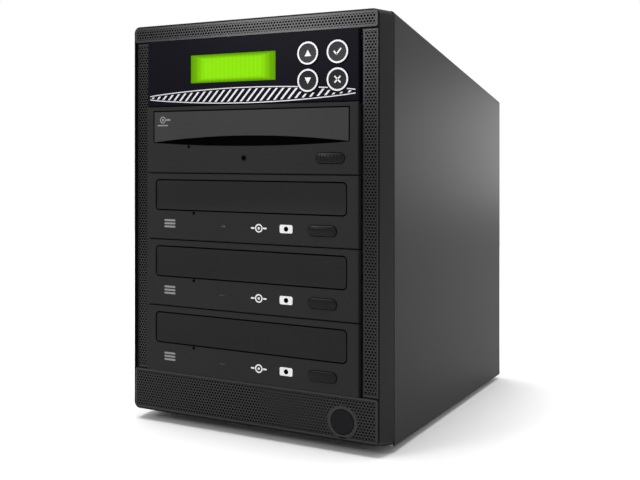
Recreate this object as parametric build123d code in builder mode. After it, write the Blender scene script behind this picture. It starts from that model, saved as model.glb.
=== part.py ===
"""Disc duplicator tower: five half-height bays in a steel case with a moulded front bezel.

Millimetres, +Z up, the front faces -Y. The origin is the middle of the footprint, where the feet stand.
"""

from build123d import *
import os
from math import cos, radians, sin, tan

os.makedirs("parts", exist_ok=True)

# ---------------------------------------------------------------- sizes: bays and case
bay_w = 148.0  # width of a half-height 5.25-inch bay
bay_h = 42.3  # one bay to the next
bay_count = 5
drive_names = ("reader", "writer_1", "writer_2", "writer_3")  # from the second bay down

sheet_t = 1.0  # steel of the chassis
cover_t = 0.8  # steel of the cover
case_depth = 284.0
strip_gap = 1.0  # bay column to side strip
strip_w = 10.0
rim = 1.0  # bezel's edge outside the mesh
top_bar_h = 10.5
lower_panel_h = 26.5
draft = 3.0  # the bezel grows this much a side from its face to the case
bezel_depth = 16.0
bezel_wall = 2.0
bezel_corner = 4.0
cover_gap = 0.8  # groove between bezel and cover
cover_corner = 2.5
cover_lip = 12.0  # the cover's edge folded in over the rear panel
cover_fit = 0.15
mesh_t = 1.0
mesh_gap = 0.25
strip_recess = 2.0  # the side strips lie this much behind the bar and the panel
bay_clear = 0.4  # bezel's opening round the bay column

# ---------------------------------------------------------------- sizes: feet and thumbscrews
foot_h = 4.0
foot_w = 18.0
foot_taper = 12.0  # degrees
foot_inset = 20.0
screw_head_r = 5.0
screw_head_h = 5.0
screw_shank_r = 1.8
screw_shank_len = 8.0
screw_sides = 8
screw_gap = 0.2
screw_rise = 58.0  # each thumbscrew from the case's top or bottom

# ---------------------------------------------------------------- sizes: bay rails
bay_fit = 0.25  # drive body to rail
rail_len = 146.0
pan_edge_h = 12.0  # the base pan's turned-up edges
rail_flange = 7.0
ledge_t = 0.6
ledge_w = 3.0
ledge_end = 8.0
rail_slot_len = 60.0
rail_slot_w = 12.0

# ---------------------------------------------------------------- sizes: drives
drive_proud = 2.2  # drive fascias stand out of the bezel's face
button_proud = 0.9  # eject buttons stand out of the fascias
body_inset = 1.0  # fascia's edge to the drive's body
body_h = 41.0
body_len = 170.0
body_t = 0.8
lid_edge = 9.6  # flat border round the lid's raised panel
fascia_t = 5.0
fascia_wall = 1.6
fascia_gap = 0.5  # between two fascias
fascia_edge = 0.5
door_gap = 0.45
door_t = 3.0
door_dish = 0.5
writer_door_side = 7.7  # fascia's edge to the door
writer_door_h = 18.3
writer_door_drop = 4.8  # bay's top to the door's top
reader_door_side = 6.0
reader_door_h = 19.2
reader_door_drop = 3.5
reader_arch = 3.8  # rise of the door's lower edge
reader_dip = 2.3  # dip of the opening's lower edge
reader_back_t = 1.0
door_corner = 2.0

tray_side = 8.0  # drive's side to the tray
tray_h = 7.0
tray_drop = 9.5  # bay's top to the tray's rim
tray_travel = 134.0
tray_hold = 14.0  # of the tray left in its guides when it is out
tray_corner = 6.0
tray_front = 8.0  # door to the disc well
tray_skin = 1.6
tray_runner = 4.0
well_side = 4.5  # tray's edge to the well, which takes a 120 mm disc
well_depth = 2.2
well_sides = 32  # the wells are this many small flats round
small_well_step = 19.5  # from the big well's edge to the small one's, for an 80 mm disc
small_well_depth = 1.4
slot_w = 36.0  # opening over the hub and the pickup
slot_corner = 9.0
slot_ahead = 17.0
slot_behind = 57.0
slide_gap = 0.12

guide_t = 2.4
guide_lip = 3.0
guide_start = 6.0
guide_len = 148.0

hub_r = 12.0
hub_h = 3.0
hub_boss_r = 7.3
hub_boss_h = 2.2
hub_sides = 16
hub_gap = 0.6  # under the tray
shaft_r = 1.5
running = 0.05  # a shaft in its bore
shaft_grip = 4.0
pedestal_r = 6.5
pedestal_gap = 0.5

sled_w = 54.0
sled_len = 32.0
sled_h = 8.0
sled_travel = 34.0
sled_start = 16.0  # disc centre to the sled
sled_drop = 6.0  # tray's underside to the sled
lens_r = 3.4
lens_h = 1.6
lens_back = 8.0  # sled's front edge to the lens
rod_r = 1.5
rod_sides = 12
rod_spread = 21.0
post_t = 4.0
post_w = 7.0
post_gap = 2.0

eject_w = 18.6
eject_h = 6.3
eject_drop = 32.7
writer_eject_side = 22.7  # fascia's edge to the button's middle
reader_eject_side = 17.6
eject_gap = 0.25
eject_flange = 1.1
eject_flange_t = 1.0
eject_play = 0.1
led_x = -16.9
led_w = 5.0
led_h = 1.2
led_deep = 0.6
reader_led_x = -1.5
reader_led_r = 2.0

# ---------------------------------------------------------------- sizes: controller
panel_proud = 1.4
panel_t = 3.0
cheek_t = 1.5
cheek_h = 36.0
cheek_len = 58.0
window_w = 61.0
window_h = 17.7
window_x = -10.5
window_drop = 19.2
pane_gap = 0.1
pane_sunk = 0.5
lcd_w = 71.0
lcd_h = 24.0
board_side = 5.0  # fascia's edge to the board
board_h = 37.0
board_t = 1.6
board_back = 11.0  # panel's front to the board
boss_w = 4.8
boss_side = 9.0  # fascia's edge to the left bosses
boss_reach = 21.45  # the keys' middle to the right bosses
boss_z = 15.5
key_r = 6.9
key_sides = 40
key_gap = 0.25
key_proud = 0.9
key_stem = 3.0
key_flange = 0.9
key_flange_t = 0.8
key_travel = 0.6
key_pitch_x = 19.1
key_pitch_z = 16.0
key_side = 22.55  # fascia's edge to the keys' middle
key_mid_drop = 21.5
tact_w = 6.0
tact_gap = 0.2  # left when a key is fully pressed

# ---------------------------------------------------------------- sizes: power button
power_r = 7.2
power_side = 22.9  # face's edge to the button
power_rise = 11.0  # face's lower edge to the button
power_gap = 0.3
power_proud = 0.4
power_flange = 1.2
power_flange_t = 1.0
power_stem_w = 5.0
power_stem_len = 4.0
power_travel = 2.0
switch_w = 12.0
switch_gap = 0.3  # left when the button is fully pressed
collar_t = 1.2
collar_len = 5.0

# ---------------------------------------------------------------- sizes: power supply and fans
psu_w = 125.0
psu_h = 63.5
psu_d = 100.0
psu_t = 0.8
psu_edge = 5.0  # of the supply's rear face behind the rear panel
module_w = 30.0  # plastic module with the mains socket and the rocker
module_h = 48.0
module_lip = 1.4
module_lip_w = 1.2
module_d = 22.0
module_x = 40.0
socket_w = 24.4
socket_h = 16.4
socket_deep = 17.0
socket_corner = 3.0
socket_low = 11.0  # below the module's middle
socket_pin_len = 11.5
socket_pin_w = 2.0
socket_pin_h = 4.0
socket_pin_pitch = 7.0
socket_earth_rise = 4.0
rocker_w = 12.0
rocker_h = 19.0
rocker_rise = 12.0  # above the module's middle
rocker_gap = 0.4
rocker_well = 9.0
rocker_pivot_deep = 2.0
rocker_tilt = 8.0
rocker_pin_r = 1.5
rocker_pin_len = 1.0
rocker_arm = 3.4

case_fan = 80.0
case_fan_t = 25.0
psu_fan = 60.0
psu_fan_t = 20.0
psu_fan_x = -24.0
fan_wall = 1.5
fan_tip_gap = 1.2
fan_corner = 4.0
fan_hub_share = 0.42  # hub to blade tip
fan_hub_sides = 21
fan_bore_sides = 32
fan_blades = 7
fan_blade_t = 1.2
fan_pitch = 42.0
fan_camber = 1.6  # bend of a blade along its middle
fan_chord_share = 0.9  # of the hub's length
fan_root_share = 0.9  # of the hub's radius, where a blade starts
fan_strut_w = 5.0
fan_strut_t = 3.0
fan_struts = 4
fan_float = 1.0  # rotor to struts
grille_rings = 2
grille_sides = 24
grille_spokes = 4
grille_bar = 3.0
case_fan_rise = 100.0  # rear fan's middle above the supply
vent_slots = 5
vent_len = 26.0
vent_w = 3.4
vent_pitch = 9.0
vent_x = 62.0

# ---------------------------------------------------------------- places worked out from the sizes
column_h = bay_h * bay_count
body_w = bay_w - 2 * body_inset
writer_door_w = bay_w - 2 * writer_door_side
reader_door_w = bay_w - 2 * reader_door_side
tray_w = body_w - 2 * tray_side
well_r = tray_w / 2 - well_side
small_well_r = well_r - small_well_step
writer_eject_x = bay_w / 2 - writer_eject_side
reader_eject_x = bay_w / 2 - reader_eject_side
board_w = bay_w - 2 * board_side
key_mid_x = bay_w / 2 - key_side
boss_left = boss_side - bay_w / 2
boss_right = key_mid_x - boss_reach
face_w = bay_w + 2 * (strip_gap + strip_w + rim)
face_h = column_h + top_bar_h + lower_panel_h
power_x = face_w / 2 - power_side
case_w = face_w + 2 * draft
case_h = face_h + 2 * draft

z_case = foot_h
z_floor = z_case + sheet_t
z_face = z_case + draft
z_column = z_face + lower_panel_h
z_top = z_column + column_h
z_mid = z_case + case_h / 2
z_column_mid = (z_column + z_top) / 2

front_proud = drive_proud + button_proud
y_face = -(front_proud + bezel_depth + case_depth + screw_head_h) / 2 + front_proud
y_case = y_face + bezel_depth
y_rear = y_case + case_depth
y_panel = y_rear - cover_t - sheet_t  # rear panel's inner face
y_fascia = y_face - drive_proud
y_body = y_fascia + fascia_t

inner_w = case_w - 2 * (cover_t + cover_fit)
tray_len = tray_travel + tray_hold
z_lid = z_case + case_h - cover_t - cover_fit
z_plate_mid = (z_floor + z_lid) / 2
rail_x = body_w / 2 + bay_fit
disc_y = y_fascia + door_t + tray_front + well_r
hole_w = body_w + 2 * bay_fit


def block(x, y, z, mode=Mode.ADD):
    """A box in the open part, from a (low, high) pair along each axis."""
    with Locations(((x[0] + x[1]) / 2, (y[0] + y[1]) / 2, (z[0] + z[1]) / 2)):
        Box(x[1] - x[0], y[1] - y[0], z[1] - z[0], mode=mode)


def facing(y):
    """The upright plane at depth y as seen from the front: its x is X and its y is Z."""
    return Plane(origin=(0, y, 0), x_dir=(1, 0, 0), z_dir=(0, -1, 0))


def slab(middle, size, y, depth, radius=0.0, mode=Mode.ADD):
    """A slab in the open part that faces the front, with rounded corners if it has a radius."""
    with BuildSketch(facing(y)) as outline:
        with Locations(middle):
            if radius > 0:
                RectangleRounded(size[0], size[1], radius)
            else:
                Rectangle(size[0], size[1])
    extrude(outline.sketch, amount=-depth, mode=mode)


def round_bar(middle, radius, y, depth, mode=Mode.ADD, sides=0):
    """A bar along Y or its hole in the open part, from depth y back: round, or with flats if it has sides.

    A bar's corners are at the radius and so are the middles of a hole's flats, so that the hole clears it.
    """
    with BuildSketch(facing(y)) as outline:
        with Locations(middle):
            if sides > 0:
                RegularPolygon(radius, sides, major_radius=mode is Mode.ADD)
            else:
                Circle(radius)
    extrude(outline.sketch, amount=-depth, mode=mode)


def pill(middle, width, height, y, depth, mode=Mode.ADD):
    """A slab with two round ends in the open part, from depth y back."""
    with BuildSketch(facing(y)) as outline:
        with Locations(middle):
            SlotOverall(width, height)
    extrude(outline.sketch, amount=-depth, mode=mode)


def write(piece, name):
    """Labels a finished piece and writes it under its name."""
    piece.part.label = name
    export_step(piece.part, f"parts/{name}.step")


# ---------------------------------------------------------------- chassis
foot_places = [
    (x, y)
    for x in (-case_w / 2 + foot_inset, case_w / 2 - foot_inset)
    for y in (y_case + foot_inset, y_rear - foot_inset)
]

with BuildPart() as base_pan:
    block((-inner_w / 2, inner_w / 2), (y_case, y_panel + sheet_t), (z_case, z_floor))
    for side in (-1, 1):
        edge = sorted((side * inner_w / 2, side * (inner_w / 2 - sheet_t)))
        block(edge, (y_case + sheet_t, y_panel), (z_floor, z_floor + pan_edge_h))
    with BuildSketch(Plane.XY.offset(z_case)):
        with GridLocations(0, vent_pitch, 1, vent_slots):
            Rectangle(2 * vent_len, vent_w)
    extrude(amount=sheet_t, mode=Mode.SUBTRACT)
write(base_pan, "base_pan")

with BuildPart() as rubber_feet:
    with BuildSketch(Plane.XY.offset(foot_h)):
        with Locations(*foot_places):
            Rectangle(foot_w, foot_w)
    extrude(amount=-foot_h, taper=foot_taper)
write(rubber_feet, "rubber_feet")

with BuildPart() as front_plate:
    slab((0, z_plate_mid), (inner_w, z_lid - z_floor), y_case, sheet_t)
    chamfer(front_plate.edges().filter_by(Axis.Y).group_by(Axis.Z)[-1], cover_corner)
    slab((0, z_column_mid), (hole_w, column_h), y_case, sheet_t, mode=Mode.SUBTRACT)
write(front_plate, "front_plate")

for side, name in ((-1, "bay_rail_left"), (1, "bay_rail_right")):
    with BuildPart() as rail:
        y_rail = (y_case + sheet_t, y_case + sheet_t + rail_len)
        block(sorted((side * rail_x, side * (rail_x + sheet_t))), y_rail, (z_floor, z_top))
        outward = sorted((side * (rail_x + sheet_t), side * (rail_x + rail_flange)))
        block(outward, y_rail, (z_floor, z_floor + sheet_t))
        block(outward, (y_rail[0], y_rail[0] + sheet_t), (z_floor + sheet_t, z_top))
        inward = sorted((side * rail_x, side * (rail_x - ledge_w)))
        for bay in range(bay_count):
            z_bay = z_column + bay * bay_h
            block(inward, (y_rail[0] + ledge_end, y_rail[1] - ledge_end), (z_bay, z_bay + ledge_t))
        with BuildSketch(Plane.YZ.offset(side * rail_x)):
            with Locations((y_rail[0] + rail_len / 2, z_column_mid)):
                with GridLocations(0, bay_h, 1, bay_count):
                    Rectangle(rail_slot_len, rail_slot_w)
        extrude(amount=side * sheet_t, mode=Mode.SUBTRACT)
    write(rail, name)

# ---------------------------------------------------------------- cover
cover_y = y_case + cover_gap
screw_hole = 2 * (screw_shank_r + screw_gap)
screw_x = case_w / 2 - cover_lip / 2
screw_z = (z_case + screw_rise, z_case + case_h - screw_rise)
screw_places = [(x, z) for x in (-screw_x, screw_x) for z in screw_z]

with BuildPart() as cover_shell:
    with BuildSketch(facing(cover_y)):
        with Locations((0, z_mid)):
            body = Rectangle(case_w, case_h)
        fillet(body.vertices().group_by(Axis.Y)[-1], cover_corner)
    extrude(amount=-(y_rear - cover_y))
    with BuildSketch(facing(cover_y)):
        with Locations((0, z_mid - cover_t)):
            hollow = Rectangle(case_w - 2 * cover_t, case_h)
        fillet(hollow.vertices().group_by(Axis.Y)[-1], cover_corner - cover_t)
    extrude(amount=-(y_rear - cover_t - cover_y), mode=Mode.SUBTRACT)
    inside_lip = (case_w - 2 * cover_lip, case_h)
    slab((0, z_mid - cover_lip), inside_lip, y_rear - cover_t, cover_t, mode=Mode.SUBTRACT)
    for place in screw_places:
        slab(place, (screw_hole, screw_hole), y_rear - cover_t, cover_t, mode=Mode.SUBTRACT)
write(cover_shell, "cover_shell")

with BuildPart() as cover_thumbscrews:
    for radius, front, length in (
        (screw_shank_r, y_rear - screw_shank_len, screw_shank_len),
        (screw_head_r, y_rear, screw_head_h),
    ):
        with BuildSketch(facing(front)):
            with Locations(*screw_places):
                RegularPolygon(radius, screw_sides)
        extrude(amount=-length)
write(cover_thumbscrews, "cover_thumbscrews")

# ---------------------------------------------------------------- front bezel and its mesh
mesh_w = face_w - 2 * rim
panel_low = z_face + rim
bar_high = z_face + face_h - rim
power_z = z_face + power_rise
web_back = strip_recess + mesh_t + bezel_wall  # face to the back of the bezel's web
power_hole_r = power_r + power_gap
flange_room = 2 * (power_hole_r + power_flange)
power_back = y_face + mesh_t + bezel_wall


def drafted(stations, mode=Mode.ADD):
    """Lofts the bezel's outline, or its square-cornered hollow, between two (depth, inset) pairs."""
    outlines = []
    for back, inset in stations:
        grow = draft * back / bezel_depth - inset
        with BuildSketch(facing(y_face + back)) as outline:
            with Locations((0, z_mid)):
                if mode is Mode.ADD:
                    RectangleRounded(face_w + 2 * grow, face_h + 2 * grow, bezel_corner)
                else:
                    Rectangle(face_w + 2 * grow, face_h + 2 * grow)
        outlines.append(outline.sketch.face())
    loft(outlines, mode=mode)


def mesh_sheet(low, high, outer, gap, depth, mode=Mode.ADD):
    """A front mesh sheet, or its recess if gap is over 0, rounded at its outer (-1 low, 1 high) corners."""
    with BuildSketch(facing(y_face)) as outline:
        with Locations((0, (low + high) / 2)):
            sheet = Rectangle(mesh_w + 2 * gap, high - low + 2 * gap)
        corners = sheet.vertices().group_by(Axis.Y)[-1 if outer > 0 else 0]
        fillet(corners, bezel_corner - rim + gap)
    extrude(outline.sketch, amount=-depth, mode=mode)


with BuildPart() as front_bezel:
    drafted(((bezel_depth, 0), (rim / 2, 0)))
    drafted(((rim / 2, 0), (0, rim / 2)))
    drafted(((bezel_depth, bezel_wall), (web_back, bezel_wall)), Mode.SUBTRACT)
    wall_w = bay_w + 2 * (bay_clear + bezel_wall)
    wall_h = column_h + 2 * (bay_clear + bezel_wall)
    slab((0, z_column_mid), (wall_w, wall_h), y_face + web_back, bezel_depth - web_back)
    collar_w = flange_room + 2 * collar_t
    slab((power_x, power_z), (collar_w, collar_w), y_face + web_back, collar_len)
    bay_opening = (bay_w + 2 * bay_clear, column_h + 2 * bay_clear)
    slab((0, z_column_mid), bay_opening, y_face, bezel_depth, mode=Mode.SUBTRACT)
    strip_room = (mesh_w + 2 * mesh_gap, column_h)
    slab((0, z_column_mid), strip_room, y_face, strip_recess + mesh_t, mode=Mode.SUBTRACT)
    mesh_sheet(panel_low, z_column, -1, mesh_gap, mesh_t, Mode.SUBTRACT)
    mesh_sheet(z_top, bar_high, 1, mesh_gap, mesh_t, Mode.SUBTRACT)
    round_bar((power_x, power_z), power_hole_r, y_face, bezel_depth, mode=Mode.SUBTRACT)
    slab((power_x, power_z), (flange_room, flange_room), power_back, bezel_depth, mode=Mode.SUBTRACT)
write(front_bezel, "front_bezel")

with BuildPart() as top_mesh_bar:
    mesh_sheet(z_top + mesh_gap, bar_high, 1, 0, mesh_t)
write(top_mesh_bar, "top_mesh_bar")

with BuildPart() as lower_mesh_panel:
    mesh_sheet(panel_low, z_column - mesh_gap, -1, 0, mesh_t)
    round_bar((power_x, power_z), power_hole_r, y_face, mesh_t, mode=Mode.SUBTRACT)
write(lower_mesh_panel, "lower_mesh_panel")

with BuildPart() as side_mesh_strips:
    strip_x = bay_w / 2 + strip_gap + strip_w / 2
    strip = (strip_w, column_h - 2 * mesh_gap)
    for side in (-1, 1):
        slab((side * strip_x, z_column_mid), strip, y_face + strip_recess, mesh_t)
write(side_mesh_strips, "side_mesh_strips")

# ---------------------------------------------------------------- power button and its switch
button_back = power_back + eject_play + power_flange_t

with BuildPart() as power_button:
    front = y_face - power_proud
    flange_front = button_back - power_flange_t
    round_bar((power_x, power_z), power_r, front, flange_front - front, sides=key_sides)
    flange = 2 * (power_r + power_flange)
    slab((power_x, power_z), (flange, flange), flange_front, power_flange_t)
    slab((power_x, power_z), (power_stem_w, power_stem_w), button_back, power_stem_len)
write(power_button, "power_button")

with BuildPart() as power_switch_body:
    switch_y = button_back + power_stem_len + power_travel + switch_gap
    slab((power_x, power_z), (switch_w, switch_w), switch_y, y_case - switch_y)
write(power_switch_body, "power_switch_body")

# ---------------------------------------------------------------- controller in the top bay
y_control = y_face - panel_proud
control_z = z_top - bay_h / 2
fascia_w = bay_w
fascia_h = bay_h - fascia_gap
window = (window_x, z_top - window_drop)
key_z = z_top - key_mid_drop
key_places = {
    "key_up": (key_mid_x - key_pitch_x / 2, key_z + key_pitch_z / 2),
    "key_down": (key_mid_x - key_pitch_x / 2, key_z - key_pitch_z / 2),
    "key_enter": (key_mid_x + key_pitch_x / 2, key_z + key_pitch_z / 2),
    "key_escape": (key_mid_x + key_pitch_x / 2, key_z - key_pitch_z / 2),
}
y_board = y_control + board_back

with BuildPart() as controller_fascia:
    slab((0, control_z), (fascia_w, fascia_h), y_control, panel_t)
    chamfer(controller_fascia.faces().sort_by(Axis.Y)[0].edges(), fascia_edge)
    for side in (-1, 1):
        cheek = sorted((side * body_w / 2, side * (body_w / 2 - cheek_t)))
        z_cheek = z_top - bay_h + ledge_t
        block(cheek, (y_control + panel_t, y_case + cheek_len), (z_cheek, z_cheek + cheek_h))
    for across in (boss_left, boss_right):
        for rise in (-boss_z, boss_z):
            slab((across, control_z + rise), (boss_w, boss_w), y_control + panel_t, board_back - panel_t)
    slab(window, (window_w, window_h), y_control, panel_t, mode=Mode.SUBTRACT)
    for place in key_places.values():
        round_bar(place, key_r + key_gap, y_control, panel_t, mode=Mode.SUBTRACT)
write(controller_fascia, "controller_fascia")

with BuildPart() as display_pane:
    pane = (window_w - 2 * pane_gap, window_h - 2 * pane_gap)
    slab(window, pane, y_control + pane_sunk, panel_t - pane_sunk)
write(display_pane, "display_pane")

key_back = y_control + panel_t + eject_play + key_flange_t

with BuildPart() as controller_board:
    slab((0, control_z), (board_w, board_h), y_board, board_t)
    slab(window, (lcd_w, lcd_h), y_control + panel_t, board_back - panel_t)
    tact_y = key_back + key_stem + key_travel + tact_gap
    for place in key_places.values():
        slab(place, (tact_w, tact_w), tact_y, y_board - tact_y)
write(controller_board, "controller_board")

for name, place in key_places.items():
    with BuildPart() as key:
        front = y_control - key_proud
        flange_y = key_back - key_flange_t
        round_bar(place, key_r, front, flange_y - front, sides=key_sides)
        slab(place, (2 * (key_r + key_flange), 2 * key_r), flange_y, key_flange_t)
        slab(place, (tact_w / 2, tact_w / 2), key_back, key_stem)
    write(key, name)


# ---------------------------------------------------------------- drives
def door_outline(name, top, gap):
    """Outline of a drive's tray door, or of its opening where gap is over 0, in the open sketch."""
    if name == "reader":
        half = reader_door_w / 2 + gap
        high = top - reader_door_drop + gap
        low = top - reader_door_drop - reader_door_h - gap
        with BuildLine() as edge:
            Polyline((-half, low), (-half, high), (half, high), (half, low))
            ThreePointArc((half, low), (0, low - reader_dip), (-half, low))
        make_face(edge.edges())
    else:
        with Locations((0, top - writer_door_drop - writer_door_h / 2)):
            RectangleRounded(writer_door_w + 2 * gap, writer_door_h + 2 * gap, door_corner + gap)


def eject_place(name, top):
    """Middle of a drive's eject button, in X and Z."""
    return (reader_eject_x if name == "reader" else writer_eject_x, top - eject_drop)


def build_fascia(name, top):
    """Front moulding of a drive: a thin-walled shell with the door's and the button's openings."""
    middle = (0, top - bay_h / 2)
    eject = eject_place(name, top)
    with BuildPart() as fascia:
        slab(middle, (fascia_w, fascia_h), y_fascia, fascia_t)
        chamfer(fascia.faces().sort_by(Axis.Y)[0].edges(), fascia_edge)
        hollow = (fascia_w - 2 * fascia_wall, fascia_h - 2 * fascia_wall)
        slab(middle, hollow, y_fascia + fascia_wall, fascia_t, mode=Mode.SUBTRACT)
        door_drop, door_h = (reader_door_drop, reader_door_h + reader_dip)
        door_w = reader_door_w
        if name != "reader":
            door_drop, door_h, door_w = writer_door_drop, writer_door_h, writer_door_w
        around = 2 * (door_gap + fascia_wall)
        frame = (door_w + around, door_h + around)
        slab((0, top - door_drop - door_h / 2), frame, y_fascia + fascia_wall, fascia_t - fascia_wall)
        collar = (eject_w + 2 * fascia_wall, eject_h + 2 * fascia_wall)
        slab(eject, collar, y_fascia + fascia_wall, fascia_wall)
        with BuildSketch(facing(y_fascia)):
            door_outline(name, top, door_gap)
        extrude(amount=-fascia_t, mode=Mode.SUBTRACT)
        gap = 2 * eject_gap
        pill(eject, eject_w + gap, eject_h + gap, y_fascia, fascia_t, mode=Mode.SUBTRACT)
        if name == "reader":
            round_bar((reader_led_x, eject[1]), reader_led_r, y_fascia, led_deep, mode=Mode.SUBTRACT)
        else:
            slab((led_x, eject[1]), (led_w, led_h), y_fascia, led_deep, mode=Mode.SUBTRACT)
    write(fascia, f"{name}_fascia")


def build_door(name, top):
    """Tray door: the reader's has a finger arch over a backing lip, a writer's has a dished face."""
    with BuildPart() as door:
        if name == "reader":
            half = reader_door_w / 2
            high = top - reader_door_drop
            low = high - reader_door_h
            with BuildSketch(facing(y_fascia)):
                with BuildLine():
                    Polyline((-half, low), (-half, high), (half, high), (half, low))
                    ThreePointArc((half, low), (0, low + reader_arch), (-half, low))
                make_face()
            extrude(amount=-(door_t - reader_back_t))
            with BuildSketch(facing(y_fascia + door_t - reader_back_t)):
                door_outline(name, top, 0)
            extrude(amount=-reader_back_t)
        else:
            with BuildSketch(facing(y_fascia)):
                door_outline(name, top, 0)
            extrude(amount=-door_t)
            dish_r = (writer_door_h**2 / 4 + door_dish**2) / (2 * door_dish)
            z_door = top - writer_door_drop - writer_door_h / 2
            with BuildSketch(Plane.YZ.offset(-writer_door_w / 2)):
                with Locations((y_fascia + door_dish - dish_r, z_door)):
                    Circle(dish_r)
            extrude(amount=writer_door_w, mode=Mode.SUBTRACT)
    write(door, f"{name}_door")


def build_tray(top):
    """Disc tray: a moulding with two stepped disc wells, the pickup's opening and two runners."""
    rim_z = top - tray_drop
    y_tray = y_fascia + door_t
    with BuildPart() as tray:
        with BuildSketch(Plane.XY.offset(rim_z)):
            with Locations((0, y_tray + tray_len / 2)):
                plan = Rectangle(tray_w, tray_len)
            chamfer(plan.vertices().group_by(Axis.Y)[-1], tray_corner)
        extrude(amount=-tray_h)
        with BuildSketch(Plane.XY.offset(rim_z)):
            with Locations((0, disc_y)):
                RegularPolygon(well_r, well_sides, major_radius=False)
        extrude(amount=-well_depth, mode=Mode.SUBTRACT)
        with BuildSketch(Plane.XY.offset(rim_z)):
            with Locations((0, disc_y)):
                RegularPolygon(small_well_r, well_sides, major_radius=False)
        extrude(amount=-(well_depth + small_well_depth), mode=Mode.SUBTRACT)
        between = (tray_runner - tray_w / 2, tray_w / 2 - tray_runner)
        under = (y_tray + tray_runner, y_tray + tray_len - tray_runner)
        deck = rim_z - well_depth - small_well_depth - tray_skin
        block(between, under, (rim_z - tray_h, deck), Mode.SUBTRACT)
        with BuildSketch(Plane.XY.offset(rim_z)):
            with Locations((0, disc_y + (slot_behind - slot_ahead) / 2)):
                opening = Rectangle(slot_w, slot_ahead + slot_behind)
            chamfer(opening.vertices(), slot_corner)
        extrude(amount=-tray_h, mode=Mode.SUBTRACT)
    return tray


def build_chassis(top):
    """Lower shell of a drive, with the tray's guides, the motor's pedestal, and the pickup's rod and rail."""
    low = top - bay_h + ledge_t
    floor = low + body_t
    tray_low = top - tray_drop - tray_h
    half = body_w / 2
    hub_low = tray_low - hub_gap - hub_boss_h - hub_h
    rod_z = tray_low - sled_drop - sled_h / 2
    front_post = disc_y + sled_start - post_gap - post_t
    rear_post = disc_y + sled_start + sled_len + sled_travel + post_gap
    with BuildPart() as chassis:
        block((-half, half), (y_body, y_body + body_len), (low, low + body_h - body_t))
        inside = (-half + body_t, half - body_t)
        block(inside, (y_body, y_body + body_len - body_t), (floor, low + body_h), Mode.SUBTRACT)
        for side in (-1, 1):
            with BuildSketch(facing(y_body + guide_start)):
                with BuildLine():
                    Polyline(
                        (side * (half - body_t), tray_low - slide_gap - guide_t),
                        (side * (tray_w / 2 - guide_lip), tray_low - slide_gap - guide_t),
                        (side * (tray_w / 2 - guide_lip), tray_low - slide_gap),
                        (side * (tray_w / 2 + slide_gap), tray_low - slide_gap),
                        (side * (tray_w / 2 + slide_gap), tray_low + tray_h),
                        (side * (half - body_t), tray_low + tray_h),
                        close=True,
                    )
                make_face()
            extrude(amount=-guide_len)
        post = (rod_spread - post_w / 2, rod_spread + post_w / 2)
        for y_post in (front_post, rear_post):
            block(post, (y_post, y_post + post_t), (floor, rod_z + 2 * rod_r))
        rod_len = rear_post - front_post - post_t
        round_bar((rod_spread, rod_z), rod_r, front_post + post_t, rod_len, sides=rod_sides)
        rail = (-rod_spread - post_w / 2, -rod_spread + post_w / 2)
        block(rail, (front_post, rear_post + post_t), (floor, rod_z - sled_h / 2 - slide_gap))
        pedestal_y = (disc_y - pedestal_r, disc_y + pedestal_r)
        block((-pedestal_r, pedestal_r), pedestal_y, (floor, hub_low - pedestal_gap))
        with BuildSketch(Plane.XY.offset(hub_low - pedestal_gap)):
            with Locations((0, disc_y)):
                RegularPolygon(shaft_r, rod_sides)
        extrude(amount=pedestal_gap + shaft_grip)
    return chassis


def build_lid(top):
    """Upper plate of a drive, with the raised panel that such lids have."""
    low = top - bay_h + ledge_t + body_h - body_t
    with BuildPart() as lid:
        block((-body_w / 2, body_w / 2), (y_body, y_body + body_len), (low, low + body_t))
        with BuildSketch(Plane.XY.offset(low)):
            with Locations((0, y_body + body_len / 2)):
                Rectangle(body_w - 2 * lid_edge, body_len - 2 * lid_edge)
        extrude(amount=body_t / 2, mode=Mode.SUBTRACT)
    return lid


def build_eject(name, top):
    """Eject button: a pill held behind the fascia by its flange."""
    place = eject_place(name, top)
    flange_y = y_fascia + 2 * fascia_wall + eject_play
    front = y_fascia - button_proud
    with BuildPart() as eject:
        pill(place, eject_w, eject_h, front, flange_y - front)
        slab(place, (eject_w + 2 * eject_flange, eject_h + 2 * eject_flange), flange_y, eject_flange_t)
    write(eject, f"{name}_eject_button")


def build_hub(top):
    """Spindle hub: the disc's turntable and centring boss, with a blind bore for the motor's shaft."""
    boss_top = top - tray_drop - tray_h - hub_gap
    table = boss_top - hub_boss_h
    with BuildPart() as hub:
        for radius, high, deep in ((hub_r, table, hub_h), (hub_boss_r, boss_top, hub_boss_h)):
            with BuildSketch(Plane.XY.offset(high)):
                with Locations((0, disc_y)):
                    RegularPolygon(radius, hub_sides)
            extrude(amount=-deep)
        with BuildSketch(Plane.XY.offset(table - hub_h)):
            with Locations((0, disc_y)):
                RegularPolygon(shaft_r + running, rod_sides, major_radius=False)
        extrude(amount=shaft_grip + 2 * running, mode=Mode.SUBTRACT)
    return hub


def build_sled(top):
    """Pickup sled: a carriage bored for its rod, flat where it slides on the rail, with the lens on top."""
    high = top - tray_drop - tray_h - sled_drop
    y_sled = disc_y + sled_start
    with BuildPart() as sled:
        block((-sled_w / 2, sled_w / 2), (y_sled, y_sled + sled_len), (high - sled_h, high))
        on_rod = (rod_spread, high - sled_h / 2)
        round_bar(on_rod, rod_r + running, y_sled, sled_len, Mode.SUBTRACT, rod_sides)
        lens_y = (y_sled + lens_back - lens_r, y_sled + lens_back + lens_r)
        block((-lens_r, lens_r), lens_y, (high, high + lens_h))
    return sled


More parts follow.
